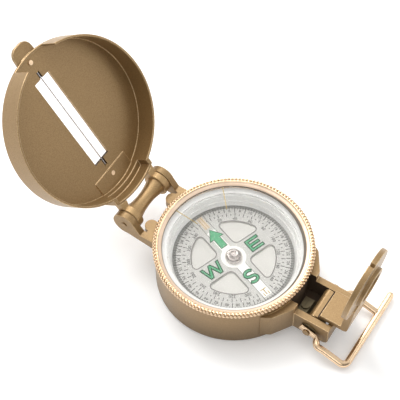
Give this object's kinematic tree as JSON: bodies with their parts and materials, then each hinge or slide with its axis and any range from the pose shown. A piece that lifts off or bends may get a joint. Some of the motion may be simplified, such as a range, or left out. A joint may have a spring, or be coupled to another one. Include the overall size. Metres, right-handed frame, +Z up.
{
  "type": "magnetic compass",
  "caption": "Folding sighting compass: round case, knurled turning bezel, floating dial card, hinged cover with sighting slot and wire, folding lens bracket and thumb loop.",
  "frame": {"origin": "centre of the case's flat underside", "axes": "+Y along the line of sight, towards the cover's hinge; +Z up; +X to the right; symmetric about X = 0 but for the card, the index lines and the loop's tail"},
  "size_m": [0.0586, 0.1384, 0.0704],
  "materials": {
    "case_paint": "fine-textured bronze-tan metallic paint",
    "gold_metal": "bright gold-coloured metal",
    "steel": "bright steel",
    "spring_steel": "dull olive-brown steel",
    "white_plastic": "gloss white",
    "clear_plastic": "clear",
    "line_gold": "printed line",
    "green_ink": "glowing green ink",
    "magnet": "dark magnet"
  },
  "bodies": {
    "base": {"case": "case_paint", "dial_bowl": "white_plastic", "bowl_cover": "clear_plastic", "pivot_post": "steel", "bezel_spring": "spring_steel", "hinge_pin": "case_paint", "bracket_pin": "case_paint", "detent_spring": "spring_steel", "spring_screw": "spring_steel", "loop_washer_left": "steel", "loop_washer_right": "steel", "loop_rivet_left": "gold_metal", "loop_rivet_right": "gold_metal"},
    "bezel": {"bezel_ring": "gold_metal", "crystal": "clear_plastic", "index_line_ahead": "line_gold", "index_line_side": "line_gold"},
    "card": {"dial_card": "white_plastic", "card_pointer": "white_plastic", "north_arrow": "green_ink", "east_letter": "green_ink", "south_letter": "green_ink", "west_letter": "green_ink", "card_magnet": "magnet", "jewel_cap": "steel"},
    "lid": {"cover": "case_paint", "hinge_spool": "case_paint", "sighting_wire": "steel", "wire_anchor_far": "gold_metal", "wire_anchor_near": "gold_metal", "glow_dot_far": "gold_metal", "glow_dot_near": "gold_metal"},
    "bracket": {"lens_bracket": "case_paint", "lens": "clear_plastic", "lens_ring": "case_paint"},
    "loop": {"thumb_loop": "gold_metal"}
  },
  "joints": [
    {"name": "bezel_turn", "type": "hinge", "parent": "base", "child": "bezel", "pos_m": [0, 0, 0.018], "axis": [0, 0, 1], "continuous": true},
    {"name": "card_spin", "type": "hinge", "parent": "base", "child": "card", "pos_m": [0, 0, 0.0118], "axis": [0, 0, 1], "continuous": true},
    {"name": "lid_hinge", "type": "hinge", "parent": "base", "child": "lid", "pos_m": [0, 0.037, 0.0168], "axis": [1, 0, 0], "range_deg": [-50, 126.5]},
    {"name": "bracket_fold", "type": "hinge", "parent": "base", "child": "bracket", "pos_m": [0, -0.0353, 0.01], "axis": [-1, 0, 0], "range_deg": [0, 96]},
    {"name": "loop_swing", "type": "hinge", "parent": "base", "child": "loop", "pos_m": [0, -0.0352, 0.0072], "axis": [-1, 0, 0], "range_deg": [-72, 48]}
  ]
}
